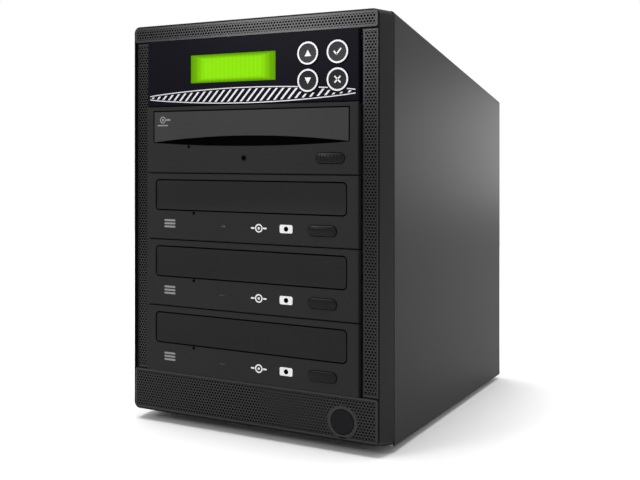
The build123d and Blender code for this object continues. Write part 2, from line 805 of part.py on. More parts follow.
for number, name in enumerate(drive_names):
    top = z_top - (number + 1) * bay_h
    build_fascia(name, top)
    build_door(name, top)
    build_eject(name, top)
    write(build_tray(top), f"{name}_tray")
    write(build_chassis(top), f"{name}_chassis")
    write(build_lid(top), f"{name}_lid")
    write(build_hub(top), f"{name}_spindle_hub")
    write(build_sled(top), f"{name}_pickup_sled")

# ---------------------------------------------------------------- power supply
psu_y = y_panel - psu_d
psu_z = z_floor + psu_h / 2
y_psu_face = y_panel


def fan_slots(middle, size, y, depth):
    """Stamped guard in front of a fan: rings of slots, cut from the open part."""
    pitch = (size / 2 - fan_wall - grille_bar) / (grille_rings + 1)
    with BuildSketch(facing(y)) as slots:
        with Locations(middle):
            for ring in range(grille_rings, 0, -1):
                outer = (ring + 1) * pitch
                RegularPolygon(outer, grille_sides)
                RegularPolygon(outer - pitch + grille_bar, grille_sides, mode=Mode.SUBTRACT)
            for spoke in range(grille_spokes // 2):
                turn = (spoke + 1 / 2) * 360 / grille_spokes
                Rectangle(size, grille_bar, rotation=turn, mode=Mode.SUBTRACT)
    extrude(slots.sketch, amount=-depth, mode=Mode.SUBTRACT)


with BuildPart() as psu_case:
    block((-psu_w / 2, psu_w / 2), (psu_y, y_psu_face), (z_floor, z_floor + psu_h))
    inside_x = (-psu_w / 2 + psu_t, psu_w / 2 - psu_t)
    inside_z = (z_floor + psu_t, z_floor + psu_h - psu_t)
    block(inside_x, (psu_y + psu_t, y_psu_face - psu_t), inside_z, Mode.SUBTRACT)
    fan_slots((psu_fan_x, psu_z), psu_fan, y_psu_face - psu_t, psu_t)
    slab((module_x, psu_z), (module_w, module_h), y_psu_face - psu_t, psu_t, mode=Mode.SUBTRACT)
write(psu_case, "psu_case")

rocker_z = psu_z + rocker_rise
socket_z = psu_z - socket_low

with BuildPart() as inlet_module:
    gap = 2 * screw_gap
    slab((module_x, psu_z), (module_w - gap, module_h - gap), y_psu_face - module_d, module_d)
    lip = 2 * module_lip_w
    slab((module_x, psu_z), (module_w + lip, module_h + lip), y_psu_face, module_lip)
    y_out = y_psu_face + module_lip
    socket = (module_x, socket_z)
    with BuildSketch(facing(y_out - socket_deep)):
        with Locations(socket):
            mouth = Rectangle(socket_w, socket_h)
        chamfer(mouth.vertices().group_by(Axis.Y)[-1], socket_corner)
    extrude(amount=-socket_deep, mode=Mode.SUBTRACT)
    y_pin = y_out - socket_deep
    pin = (socket_pin_w, socket_pin_h)
    for across in (-socket_pin_pitch, socket_pin_pitch):
        slab((module_x + across, socket_z - socket_pin_w / 2), pin, y_pin, socket_pin_len)
    slab((module_x, socket_z + socket_earth_rise / 2), pin, y_pin, socket_pin_len)
    well = (rocker_w + 2 * rocker_gap, rocker_h + 2 * rocker_gap)
    slab((module_x, rocker_z), well, y_out - rocker_well, rocker_well, mode=Mode.SUBTRACT)
    pivot_y = y_out - rocker_pivot_deep
    with BuildSketch(Plane.YZ.offset(module_x - rocker_w / 2 - rocker_gap - rocker_pin_len)):
        with Locations((pivot_y, rocker_z)):
            RegularPolygon(rocker_pin_r + running, rod_sides, major_radius=False)
    extrude(amount=rocker_w + 2 * (rocker_gap + rocker_pin_len), mode=Mode.SUBTRACT)
write(inlet_module, "inlet_module")

with BuildPart() as rocker_switch:
    tilt = radians(rocker_tilt)
    reach = rocker_h / 2 - rocker_gap
    side_on = Plane(
        origin=(module_x - rocker_w / 2, pivot_y, rocker_z), x_dir=(0, cos(tilt), sin(tilt)), z_dir=(1, 0, 0)
    )
    with BuildSketch(side_on):
        with BuildLine():
            Polyline(
                (rocker_arm, -reach),
                (0, -reach),
                (-rocker_arm, 0),
                (0, reach),
                (rocker_arm, reach),
                (rocker_arm / 2, 0),
                close=True,
            )
        make_face()
    extrude(amount=rocker_w)
    with BuildSketch(Plane.YZ.offset(module_x - rocker_w / 2 - rocker_gap - rocker_pin_len / 2)):
        with Locations((pivot_y, rocker_z)):
            RegularPolygon(rocker_pin_r, rod_sides)
    extrude(amount=rocker_w + 2 * rocker_gap + rocker_pin_len)
write(rocker_switch, "rocker_switch")


# ---------------------------------------------------------------- fans
def build_fan(middle, size, thick, y_out, names):
    """A square axial fan whose struts are at y_out: its frame, and its rotor on the frame's shaft."""
    bore = size / 2 - fan_wall
    tip = bore - fan_tip_gap
    hub = tip * fan_hub_share
    y_front = y_out - thick
    y_strut = y_out - fan_strut_t
    with BuildPart() as frame:
        slab(middle, (size, size), y_front, thick)
        chamfer(frame.edges().filter_by(Axis.Y), fan_corner)
        with BuildSketch(facing(y_front)):
            with Locations(middle):
                RegularPolygon(bore, fan_bore_sides, major_radius=False)
        extrude(amount=-thick, mode=Mode.SUBTRACT)
        with BuildSketch(facing(y_strut)):
            with Locations(middle):
                for strut in range(fan_struts // 2):
                    Rectangle(2 * bore + fan_wall, fan_strut_w, rotation=strut * 360 / fan_struts)
                RegularPolygon(hub, fan_hub_sides)
        extrude(amount=-fan_strut_t)
        round_bar(middle, shaft_r, y_strut - thick / 2, thick / 2, sides=rod_sides)
    write(frame, names[0])

    y_hub = y_strut - fan_float
    hub_len = y_hub - y_front - fan_float
    half = fan_chord_share * hub_len / 2
    across = half * tan(radians(fan_pitch))
    middle_y = y_hub - hub_len / 2
    with BuildPart() as blade:
        with BuildSketch(Plane.YZ.offset(hub * fan_root_share)):
            with BuildLine():
                Polyline(
                    (-half, -across),
                    (fan_camber, -fan_camber),
                    (half, across),
                    (half, across + fan_blade_t),
                    (fan_camber, fan_blade_t - fan_camber),
                    (-half, fan_blade_t - across),
                    close=True,
                )
            make_face()
        extrude(amount=tip - hub * fan_root_share)
    with BuildPart() as rotor:
        with BuildSketch(facing(y_hub - hub_len)):
            with Locations(middle):
                RegularPolygon(hub, fan_hub_sides)
        extrude(amount=-hub_len)
        with Locations((middle[0], middle_y, middle[1])):
            for count in range(fan_blades):
                add(blade.part, rotation=(0, count * 360 / fan_blades, 0))
        bore_y = y_strut - thick / 2 - fan_float
        round_bar(middle, shaft_r + running, bore_y, thick / 2, Mode.SUBTRACT, rod_sides)
    write(rotor, names[1])


build_fan((psu_fan_x, psu_z), psu_fan, psu_fan_t, y_psu_face - psu_t, ("psu_fan_frame", "psu_fan_rotor"))
fan_middle = (0, z_floor + psu_h + case_fan_rise)
build_fan(fan_middle, case_fan, case_fan_t, y_panel, ("rear_fan_frame", "rear_fan_rotor"))

# ---------------------------------------------------------------- rear panel
with BuildPart() as rear_panel:
    slab((0, z_plate_mid), (inner_w, z_lid - z_floor), y_panel, sheet_t)
    chamfer(rear_panel.edges().filter_by(Axis.Y).group_by(Axis.Z)[-1], cover_corner)
    psu_window = (psu_w - 2 * psu_edge, psu_h - 2 * psu_edge)
    slab((0, psu_z), psu_window, y_panel, sheet_t, mode=Mode.SUBTRACT)
    fan_slots(fan_middle, case_fan, y_panel, sheet_t)
    with BuildSketch(facing(y_panel)):
        for side in (-1, 1):
            with Locations((side * vent_x, fan_middle[1])):
                with GridLocations(0, vent_pitch, 1, vent_slots):
                    Rectangle(vent_len, vent_w)
    extrude(amount=-sheet_t, mode=Mode.SUBTRACT)
    for place in screw_places:
        slab(place, (screw_hole, screw_hole), y_panel, sheet_t, mode=Mode.SUBTRACT)
write(rear_panel, "rear_panel")
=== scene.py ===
import logging
import math
from dataclasses import dataclass, replace
from enum import Enum

import bpy
from mathutils import Matrix, Vector


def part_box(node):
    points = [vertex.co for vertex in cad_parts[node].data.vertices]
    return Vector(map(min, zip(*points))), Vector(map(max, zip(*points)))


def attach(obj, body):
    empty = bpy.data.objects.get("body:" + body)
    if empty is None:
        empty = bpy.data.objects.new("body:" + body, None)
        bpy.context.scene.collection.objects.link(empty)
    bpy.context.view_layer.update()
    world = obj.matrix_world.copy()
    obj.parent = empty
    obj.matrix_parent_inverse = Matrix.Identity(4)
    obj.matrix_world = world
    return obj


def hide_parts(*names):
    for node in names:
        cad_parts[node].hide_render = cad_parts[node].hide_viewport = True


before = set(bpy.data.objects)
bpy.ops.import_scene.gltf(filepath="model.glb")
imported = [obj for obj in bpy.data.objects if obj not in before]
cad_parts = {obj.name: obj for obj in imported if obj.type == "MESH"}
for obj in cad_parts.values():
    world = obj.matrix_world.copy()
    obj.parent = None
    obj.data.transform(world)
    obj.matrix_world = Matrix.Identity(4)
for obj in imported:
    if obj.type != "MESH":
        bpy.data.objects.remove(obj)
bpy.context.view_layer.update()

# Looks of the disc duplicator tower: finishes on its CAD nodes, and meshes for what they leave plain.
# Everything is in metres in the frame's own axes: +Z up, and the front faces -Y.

log = logging.getLogger("tower")

Point = tuple[float, float]
Outline = list[Point]
Triple = tuple[float, float, float]
Ring = list[Triple]
Node = bpy.types.Node
Socket = bpy.types.NodeSocket

MM = 0.001
AXIS = 0.01 * MM  # radius where a turned profile starts at its axis
CLOUD = 60 * MM  # size of the broad mottling
CASE = "case"
DRIVES = ("reader", "writer_1", "writer_2", "writer_3")


# ---- finishes
class Graph:
    """A node tree, written in short calls."""

    def __init__(self, tree: bpy.types.NodeTree) -> None:
        """Takes the tree."""
        self.tree = tree

    def node(self, kind: str, **values: object) -> Node:
        """Adds a node.

        Args:
            kind: its type after ShaderNode.
            values: what its inputs hold, with _ for the spaces in their names.

        Returns:
            The node.
        """
        made = self.tree.nodes.new(f"ShaderNode{kind}")
        for name, value in values.items():
            made.inputs[name.replace("_", " ")].default_value = value
        return made

    def link(self, source: Node, output: str, target: Node, entry: str) -> None:
        """Links one node's output to another's input."""
        self.tree.links.new(source.outputs[output], target.inputs[entry])

    def maths(self, operation: str, *values: float | Socket) -> Socket:
        """Adds a calculation.

        Args:
            operation: what it does.
            values: numbers, or sockets that give them.

        Returns:
            The result's socket.
        """
        made = self.node("Math")
        made.operation = operation
        for entry, value in zip(made.inputs, values):
            if isinstance(value, Socket):
                self.tree.links.new(value, entry)
            else:
                entry.default_value = value
        return made.outputs["Value"]

    def ramp(self, colour: Triple, first: float, last: float) -> Node:
        """Adds a ramp between two shades of a colour.

        Args:
            colour: the colour.
            first: brightness of its start.
            last: brightness of its end.

        Returns:
            The node.
        """
        made = self.node("ValToRGB")
        for element, shade in zip(made.color_ramp.elements, (first, last)):
            element.color = (*(c * shade for c in colour), 1.0)
        return made


@dataclass(frozen=True)
class Finish:
    """A procedural surface: one colour with mottling, and a grain that roughens and embosses it."""

    slot: str  # the record's material slot that it stands for
    colour: Triple  # base colour, linear
    rough: float  # roughness
    metal: float = 0.0  # metallic share
    grain: float = 0.6 * MM  # size of the grain
    relief: float = 0.01 * MM  # height of the grain
    mottle: float = 0.12  # how far colour and roughness vary, from 0 to 1
    stretch: Triple = (1.0, 1.0, 1.0)  # the grain's scale along X, Y and Z
    coat: float = 0.0  # weight of a clear coat
    glow: float = 0.0  # strength of emission in the base colour
    gloss: float = 0.35  # level of the plain reflection, 0.5 for a common plastic
    name: str = ""  # start of its material's name, if that isn't the slot

    def material(self) -> bpy.types.Material:
        """Makes the material, or finds it if it is made.

        Returns:
            The material.
        """
        name = f"{self.name or self.slot}_finish"
        found = bpy.data.materials.get(name)
        if found is not None:
            return found
        made = bpy.data.materials.new(name)
        made.use_nodes = True
        graph = Graph(made.node_tree)
        shader = made.node_tree.nodes["Principled BSDF"]
        shader.inputs["Metallic"].default_value = self.metal
        shader.inputs["Specular IOR Level"].default_value = self.gloss
        shader.inputs["Coat Weight"].default_value = self.coat
        shader.inputs["Coat Roughness"].default_value = self.rough / 3
        shader.inputs["Emission Strength"].default_value = self.glow
        self._link_grain(graph, shader)
        self._link_colour(graph, shader)
        return made

    def _link_grain(self, graph: Graph, shader: Node) -> None:
        """Lets a noise in the object's own coordinates vary the roughness and emboss the surface.

        Args:
            graph: the material's nodes.
            shader: the node that it leads to.
        """
        place = graph.node("TexCoord")
        scale = graph.node("Mapping", Scale=[share / self.grain for share in self.stretch])
        noise = graph.node("TexNoise", Scale=1.0, Detail=3.0)
        low, high = max(self.rough * (1 - self.mottle), 0.02), min(self.rough * (1 + self.mottle), 1.0)
        spread = graph.node("MapRange", To_Min=low, To_Max=high)
        bump = graph.node("Bump", Strength=1.0, Distance=self.relief)
        graph.link(place, "Object", scale, "Vector")
        graph.link(scale, "Vector", noise, "Vector")
        graph.link(noise, "Fac", spread, "Value")
        graph.link(spread, "Result", shader, "Roughness")
        graph.link(noise, "Fac", bump, "Height")
        graph.link(bump, "Normal", shader, "Normal")

    def _link_colour(self, graph: Graph, shader: Node) -> None:
        """Lets a broad noise vary the colour a little.

        Args:
            graph: the material's nodes.
            shader: the node that it leads to.
        """
        place = graph.node("TexCoord")
        clouds = graph.node("TexNoise", Scale=1 / CLOUD, Detail=2.0)
        ramp = graph.ramp(self.colour, 1 - self.mottle, 1 + self.mottle)
        graph.link(place, "Object", clouds, "Vector")
        graph.link(clouds, "Fac", ramp, "Fac")
        graph.link(ramp, "Color", shader, "Base Color")
        if self.glow > 0:
            graph.link(ramp, "Color", shader, "Emission Color")


@dataclass(frozen=True)
class ScreenFinish(Finish):
    """The lit display: faint upright cell lines, and darker towards the window's edges."""

    cell: float = 3.0 * MM  # width of one character cell
    middle: Point = (0.0, 0.0)  # the pane's middle, in X and Z
    half: Point = (1.0, 1.0)  # half the pane's width and height
    fade: float = 0.62  # share of the half size where the edge starts to darken
    lines: float = 0.12  # how dark the cell lines are
    dark: float = 0.45  # brightness of the edge

    def _link_colour(self, graph: Graph, shader: Node) -> None:
        """Paints the cells and the dark edge, and lets them glow.

        Args:
            graph: the material's nodes.
            shader: the node that it leads to.
        """
        place = graph.node("TexCoord")
        split = graph.node("SeparateXYZ")
        graph.link(place, "Object", split, "Vector")
        shares = []
        for axis, middle, half in zip("XZ", self.middle, self.half):
            moved = graph.maths("SUBTRACT", split.outputs[axis], middle)
            shares.append(graph.maths("ABSOLUTE", graph.maths("DIVIDE", moved, half)))
        fade = graph.node("MapRange", From_Min=self.fade, From_Max=1.0)
        fade.interpolation_type = "SMOOTHSTEP"
        graph.tree.links.new(graph.maths("MAXIMUM", *shares), fade.inputs["Value"])
        cells = graph.node("TexWave", Scale=1 / (self.cell * math.pi))
        cells.wave_profile = "SIN"
        graph.link(place, "Object", cells, "Vector")
        shade = graph.maths("MULTIPLY_ADD", cells.outputs["Fac"], self.lines, fade.outputs["Result"])
        ramp = graph.ramp(self.colour, 1.0, self.dark)
        graph.tree.links.new(shade, ramp.inputs["Fac"])
        graph.link(ramp, "Color", shader, "Base Color")
        graph.link(ramp, "Color", shader, "Emission Color")


BRUSH_X = (0.03, 1.0, 1.0)
BRUSH_Z = (1.0, 1.0, 0.03)
FLAT = 0.002 * MM

COVER_PAINT = Finish("cover_paint", (0.014, 0.014, 0.015), 0.46, grain=0.35 * MM, mottle=0.06, gloss=0.06)
BEZEL = Finish("bezel_black", (0.0045, 0.0045, 0.005), 0.40, grain=0.3 * MM, mottle=0.08, gloss=0.08)
MESH = Finish("mesh_black", (0.011, 0.011, 0.012), 0.26, metal=0.15, mottle=0.08, gloss=0.36)
STEEL = Finish("steel_zinc", (0.3, 0.305, 0.31), 0.36, metal=1.0, stretch=BRUSH_Z, mottle=0.10)
DRIVE_STEEL = Finish("drive_steel", (0.3, 0.305, 0.31), 0.40, metal=1.0, grain=4 * MM, mottle=0.10)
PSU_STEEL = Finish("psu_steel", (0.24, 0.245, 0.25), 0.38, metal=1.0, stretch=BRUSH_X, mottle=0.10)
PANEL_GLOSS = Finish("panel_gloss", (0.0052, 0.0047, 0.0082), 0.30, relief=FLAT, mottle=0.05, gloss=0.02)
DOOR_GREY = Finish(
    "reader_charcoal", (0.03, 0.03, 0.0315), 0.50,
    grain=0.5 * MM, relief=0.03 * MM, gloss=0.12, name="door_grey"
)
WRITER_DOOR = Finish(
    "writer_charcoal", (0.0125, 0.0125, 0.0135), 0.38, grain=0.4 * MM, gloss=0.08, name="writer_door"
)
READER = Finish(
    "reader_charcoal", (0.0125, 0.0125, 0.0135), 0.50, grain=0.5 * MM, relief=0.03 * MM, gloss=0.12
)
WRITER = Finish("writer_charcoal", (0.0165, 0.0165, 0.0175), 0.42, grain=0.4 * MM, gloss=0.08)
EJECT = Finish("eject_black", (0.009, 0.009, 0.0095), 0.26, relief=FLAT, gloss=0.08)
TRAY = Finish("tray_black", (0.020, 0.020, 0.022), 0.50, grain=0.4 * MM, relief=0.02 * MM)
HUB = Finish("hub_white", (0.62, 0.61, 0.57), 0.45)
SLED = Finish("sled_dark", (0.040, 0.040, 0.044), 0.50)
RUBBER = Finish("rubber_black", (0.022, 0.022, 0.022), 0.80, grain=1.0 * MM, relief=0.05 * MM)
SCREW = Finish("screw_black", (0.030, 0.030, 0.032), 0.36, metal=0.5)
BRIGHT_SCREW = Finish("psu_steel", (0.60, 0.60, 0.60), 0.28, metal=1.0, name="screw_bright")
MODULE = Finish("module_black", (0.018, 0.018, 0.020), 0.42)
FAN = Finish("fan_black", (0.018, 0.018, 0.020), 0.45)
BUTTON = Finish("button_black", (0.006, 0.006, 0.007), 0.34, relief=FLAT, gloss=0.08)
ROCKER = Finish("rocker_black", (0.016, 0.016, 0.018), 0.25, relief=FLAT)
BOARD = Finish("board_green", (0.02, 0.10, 0.05), 0.40)
KEY = Finish("key_black", (0.006, 0.006, 0.007), 0.20, relief=FLAT, gloss=0.1)
SILVER = Finish(
    "key_black", (0.60, 0.59, 0.62), 0.34, metal=0.15, relief=FLAT, mottle=0.04, name="silver_print"
)
PANEL_PRINT = replace(SILVER, slot="panel_gloss", name="panel_print")
DRIVE_PRINT = Finish(
    "writer_charcoal", (0.68, 0.68, 0.69), 0.45, relief=FLAT, mottle=0.04, name="drive_print"
)
READER_PRINT = Finish(
    "reader_charcoal", (0.2, 0.2, 0.205), 0.45, relief=FLAT, mottle=0.04, name="reader_print"
)
# Near-black with no reflection: painted shade in the door gaps, the reader's finger recess, the pinholes and
# the jack's bore; also the dark dot printed in a writer's block mark
PAINTED_SHADE_AND_PRINT = Finish("writer_charcoal", (0.0012, 0.0012, 0.0012), 0.80, relief=FLAT, gloss=0.0, name="painted_shade_and_print")
LED = Finish("writer_charcoal", (0.012, 0.012, 0.012), 0.15, relief=FLAT, coat=0.1, name="led_lens")


def placed(name: str, data: bpy.types.ID | None) -> bpy.types.Object:
    """Makes an object in the scene.

    Args:
        name: its name.
        data: its data, or None for an empty.

    Returns:
        The object.
    """
    made = bpy.data.objects.new(name, data)
    bpy.context.scene.collection.objects.link(made)
    return made


# ---- outlines
@dataclass(frozen=True)
class Rounded:
    """A rectangle with rounded corners, seen from the front, or a pill or a circle."""

    x: float  # middle in X
    z: float  # middle in Z
    width: float  # size in X
    height: float  # size in Z
    radius: float  # radius of the corners
    steps: int = 8  # segments of each corner

    def points(self, inset: float = 0.0) -> Outline:
        """Points of the outline, anticlockwise.

        Args:
            inset: how far inside the outline they lie, or outside if it is below 0.

        Returns:
            As many points for every inset.
        """
        radius = max(self.radius - inset, 1e-6)
        across = self.width / 2 - inset - radius
        up = self.height / 2 - inset - radius
        made = []
        for corner, (side, rise) in enumerate(((1, 1), (-1, 1), (-1, -1), (1, -1))):
            for step in range(self.steps + 1):
                angle = math.pi / 2 * (corner + step / self.steps)
                x = self.x + side * across + radius * math.cos(angle)
                z = self.z + rise * up + radius * math.sin(angle)
                made.append((x, z))
        return made


def circle(x: float, z: float, radius: float, steps: int = 12) -> Rounded:
    """A circle as an outline."""
    return Rounded(x, z, 2 * radius, 2 * radius, radius, steps)


def middle_of(node: str) -> tuple[Vector, Vector, Vector]:
    """A CAD node's middle, lowest and highest corner."""
    low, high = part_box(node)
    return (low + high) / 2, low, high


# ---- pieces
class Piece:
    """One visual mesh, gathered face by face in the frame's axes, that rides on a CAD body."""

    def __init__(self, name: str, finish: Finish, body: str = CASE) -> None:
        """Starts an empty piece.

        Args:
            name: the object's name.
            finish: its surface.
            body: the CAD body that it moves with.
        """
        self.name = name
        self.finish = finish
        self.body = body
        self.points: Ring = []
        self.faces: list[tuple[int, ...]] = []

    def loft(self, rings: list[Ring], front_cap: bool = True, back_cap: bool = True) -> None:
        """Joins rings of points from the front to the back.

        Args:
            rings: rings of as many points, anticlockwise as seen from the front.
            front_cap: closes the first ring.
            back_cap: closes the last ring.
        """
        start = len(self.points)
        count = len(rings[0])
        for ring in rings:
            self.points.extend(ring)
        for row in range(len(rings) - 1):
            near = start + row * count
            far = near + count
            for i in range(count):
                j = (i + 1) % count
                self.faces.append((near + i, far + i, far + j, near + j))
        if front_cap:
            self.faces.append(tuple(range(start, start + count)))
        if back_cap:
            last = start + (len(rings) - 1) * count
            self.faces.append(tuple(reversed(range(last, last + count))))

    def plate(self, shape: Rounded, front: float, back: float, bevel: float = 0.0) -> None:
        """Adds a plate with that outline, whose front edge is bevelled.

        Args:
            shape: its outline.
            front: Y of its front.
            back: Y of its back.
            bevel: size of the bevel.
        """
        steps = ((bevel, 0.0), (bevel * 0.3, bevel * 0.3), (0.0, bevel)) if bevel > 0 else ((0.0, 0.0),)
        rings = [at(shape.points(inset), front + depth) for inset, depth in steps]
        self.loft([*rings, at(shape.points(), back)])

    def prism(self, outline: Outline, front: float, back: float) -> None:
        """Adds a plain plate with an outline of points."""
        self.loft([at(outline, front), at(outline, back)])

    def band(self, shape: Rounded, width: float, front: float, back: float) -> None:
        """Adds a flat ring of that width inside an outline, from the front to the back."""
        outer, inner = shape.points(), shape.points(width)
        self.loft([at(inner, back), at(inner, front), at(outer, front), at(outer, back)], False, False)

    def lathe(self, middle: Point, profile: list[Point], steps: int = 48) -> None:
        """Turns a profile about a line along Y.

        Args:
            middle: the line's X and Z.
            profile: (radius, Y) pairs from the front to the back.
            steps: points round it.
        """
        angles = [2 * math.pi * i / steps for i in range(steps)]
        rings = []
        for radius, y in profile:
            turn = [(radius * math.cos(angle), radius * math.sin(angle)) for angle in angles]
            rings.append([(middle[0] + x, y, middle[1] + z) for x, z in turn])
        self.loft(rings)

    def build(self, replaces: tuple[str, ...] = ()) -> bpy.types.Object:
        """Makes the object, dresses it and lets it ride.

        Args:
            replaces: CAD nodes that it stands for.

        Returns:
            The object.
        """
        mesh = bpy.data.meshes.new(self.name)
        mesh.from_pydata(self.points, [], self.faces)
        mesh.update()
        for face in mesh.polygons:
            face.use_smooth = True
        mesh.set_sharp_from_angle(angle=math.radians(32))
        mesh.materials.append(self.finish.material())
        made = placed(self.name, mesh)
        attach(made, self.body)
        if replaces:
            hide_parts(*replaces)
        log.info("%s: %d faces on %s", self.name, len(self.faces), self.body)
        return made


def at(outline: Outline, y: float) -> Ring:
    """An outline's points at depth Y."""
    return [(x, y, z) for x, z in outline]


def dress(finish: Finish, *nodes: str) -> None:
    """Gives CAD nodes their finish.

    Args:
        finish: the surface.
        nodes: names of the CAD nodes.
    """
    for node in nodes:
        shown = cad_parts[node]
        shown.data.materials.clear()
        shown.data.materials.append(finish.material())
        log.info("%s: CAD node in %s", node, finish.slot)


# ---- perforated sheets
@dataclass(frozen=True)
class Perforation:
    """Staggered round holes in a thin sheet."""

    pitch: float = 1.95 * MM  # from hole to hole
    hole: float = 0.70 * MM  # radius of a hole
    border: float = 0.35 * MM  # plain border of the sheet
    depth: float = 0.7 * MM  # thickness of the sheet that is seen in the holes
    sunk: float = 0.03 * MM  # the holed area lies this much behind the border

    def holed(self, piece: Piece, shape: Rounded, front: float, keep_off: Rounded | None = None) -> None:
        """Fills an outline with six-sided cells, each with its hole.

        Args:
            piece: where the faces go.
            shape: the sheet's outline.
            front: Y of the sheet's front.
            keep_off: a round opening that the cells stay clear of.
        """
        row_h = self.pitch * math.sqrt(3) / 2
        rows = int(shape.height / row_h) + 2
        columns = int(shape.width / self.pitch) + 2
        for row in range(-rows // 2, rows // 2 + 1):
            for column in range(-columns // 2, columns // 2 + 1):
                x = shape.x + (column + row % 2 / 2) * self.pitch
                z = shape.z + row * row_h
                if self._clear(x, z, shape, keep_off):
                    self._cell(piece, x, z, front + self.sunk)

    def _clear(self, x: float, z: float, shape: Rounded, keep_off: Rounded | None) -> bool:
        """Tells whether there is room for a cell.

        Args:
            x: its middle.
            z: its middle.
            shape: the sheet's outline.
            keep_off: a round opening.

        Returns:
            Whether it is inside the outline and clear of the opening.
        """
        spare = self.pitch / 3
        reach = self.border + spare
        inside = abs(x - shape.x) < shape.width / 2 - reach and abs(z - shape.z) < shape.height / 2 - reach
        if keep_off is None:
            return inside
        return inside and math.hypot(x - keep_off.x, z - keep_off.z) >= keep_off.radius + spare

    def _cell(self, piece: Piece, x: float, z: float, y: float) -> None:
        """Adds one cell: a six-sided face round a twelve-sided hole with walls.

        Args:
            piece: where the faces go.
            x: its middle.
            z: its middle.
            y: its front.
        """
        corner = self.pitch / math.sqrt(3)
        start = len(piece.points)
        for i in range(6):
            angle = math.pi / 6 + i * math.pi / 3
            piece.points.append((x + corner * math.cos(angle), y, z + corner * math.sin(angle)))
        for back in (0.0, self.depth):
            for i in range(12):
                angle = math.pi / 6 * (1 + i)
                piece.points.append(
                    (x + self.hole * math.cos(angle), y + back, z + self.hole * math.sin(angle))
                )
        edge, wall = start + 6, start + 18
        for i in range(6):
            j = (i + 1) % 6
            first, second, third = edge + 2 * i, edge + (2 * i + 1) % 12, edge + (2 * i + 2) % 12
            piece.faces.append((start + i, start + j, third, second, first))
        for i in range(12):
            j = (i + 1) % 12
            piece.faces.append((edge + i, edge + j, wall + j, wall + i))


@dataclass(frozen=True)
class FrontMesh:
    """The bezel's perforated sheets: the top bar, the lower panel and a strip down each side."""

    holes: Perforation  # their hole pattern
    corner: float = 1.2 * MM  # radius of the bar's and the panel's corners
    strip_w: float = 10.0 * MM  # width of a side strip
    strip_corner: float = 0.2 * MM  # radius of its corners
    button_r: float = 7.5 * MM  # radius of the opening round the power button

    def sheet(
        self, name: str, shape: Rounded, front: float, back: float, opening: Rounded | None = None
    ) -> Piece:
        """Makes one sheet's faces: the cells and a plain border round them.

        Args:
            name: the piece's name.
            shape: its outline.
            front: Y of its front.
            back: Y of its back.
            opening: a round opening in it.

        Returns:
            The unbuilt piece.
        """
        piece = Piece(name, MESH)
        self.holes.holed(piece, shape, front, opening)
        piece.band(shape, self.holes.border + self.holes.pitch / 2, front, back)
        if opening is not None:
            collar = circle(opening.x, opening.z, opening.radius + self.holes.pitch, opening.steps)
            piece.band(collar, self.holes.pitch, front, back)
        return piece

    def build(self) -> None:
        """Makes all four sheets."""
        button, _, _ = middle_of("power_button")
        for node in ("top_mesh_bar", "lower_mesh_panel"):
            middle, low, high = middle_of(node)
            opening = circle(button.x, button.z, self.button_r) if node == "lower_mesh_panel" else None
            shape = Rounded(middle.x, middle.z, high.x - low.x, high.z - low.z, self.corner, 4)
            self.sheet(f"{node}_holed", shape, low.y, high.y, opening).build(replaces=(node,))
        _, low, high = middle_of("side_mesh_strips")
        for side, name in ((-1, "left"), (1, "right")):
            x = side * (high.x - self.strip_w / 2)
            shape = Rounded(x, (low.z + high.z) / 2, self.strip_w, high.z - low.z, self.strip_corner, 2)
            self.sheet(f"side_strip_{name}_holed", shape, low.y, high.y).build(replaces=("side_mesh_strips",))


# ---- case
@dataclass(frozen=True)
class Case:
    """The steel case: pan, plates, rails, cover, bezel, feet and thumbscrews."""

    knurls: int = 30  # ridges round a thumbscrew
    head_r: float = 5.0 * MM  # radius of its head
    head_h: float = 5.0 * MM  # height of its head
    chamfer: float = 0.5 * MM  # chamfer of its head
    groove: float = 0.25 * MM  # depth of the knurling
    shank_r: float = 1.75 * MM  # radius of its shank
    tip_r: float = 2.6 * MM  # radius of the plain disc in the head's end
    tip_h: float = 0.01 * MM  # thickness of that disc

    def star(self, x: float, z: float, inset: float) -> Outline:
        """Outline of a knurled head.

        Args:
            x: its middle.
            z: its middle.
            inset: how far inside the outer outline it lies.

        Returns:
            Two points for each knurl.
        """
        turn = math.pi / self.knurls
        made = []
        for i in range(2 * self.knurls):
            reach = self.head_r - inset - self.groove * (i % 2)
            made.append((x + reach * math.cos(i * turn), z + reach * math.sin(i * turn)))
        return made

    def thumbscrew(self, piece: Piece, x: float, z: float, front: float, back: float) -> None:
        """Adds one thumbscrew's knurled head and plain shank.

        Args:
            piece: where the faces go.
            x: its place.
            z: its place.
            front: Y where the shank starts.
            back: Y of the head's back.
        """
        face = back - self.head_h
        small, full = self.star(x, z, self.chamfer), self.star(x, z, 0)
        first, last = face + self.chamfer, back - self.chamfer
        piece.loft([at(small, face), at(full, first), at(full, last), at(small, back)])
        piece.lathe((x, z), [(self.shank_r, front), (self.shank_r, face)], 20)
        piece.lathe((x, z), [(self.tip_r, back - self.tip_h), (self.tip_r, back)], 24)

    def build(self) -> None:
        """Dresses the CAD nodes and makes the thumbscrews."""
        dress(STEEL, "base_pan", "front_plate", "bay_rail_left", "bay_rail_right", "rear_panel")
        dress(COVER_PAINT, "cover_shell")
        dress(BEZEL, "front_bezel")
        dress(RUBBER, "rubber_feet")
        _, low, high = middle_of("cover_thumbscrews")
        screws = Piece("thumbscrews_knurled", SCREW)
        for x in (low.x + self.head_r, high.x - self.head_r):
            for z in (low.z + self.head_r, high.z - self.head_r):
                self.thumbscrew(screws, x, z, low.y, high.y)
        screws.build(replaces=("cover_thumbscrews",))


# ---- controller
class Mark(Enum):
    """What a key shows."""

    UP = "up"
    DOWN = "down"
    TICK = "tick"
    CROSS = "cross"


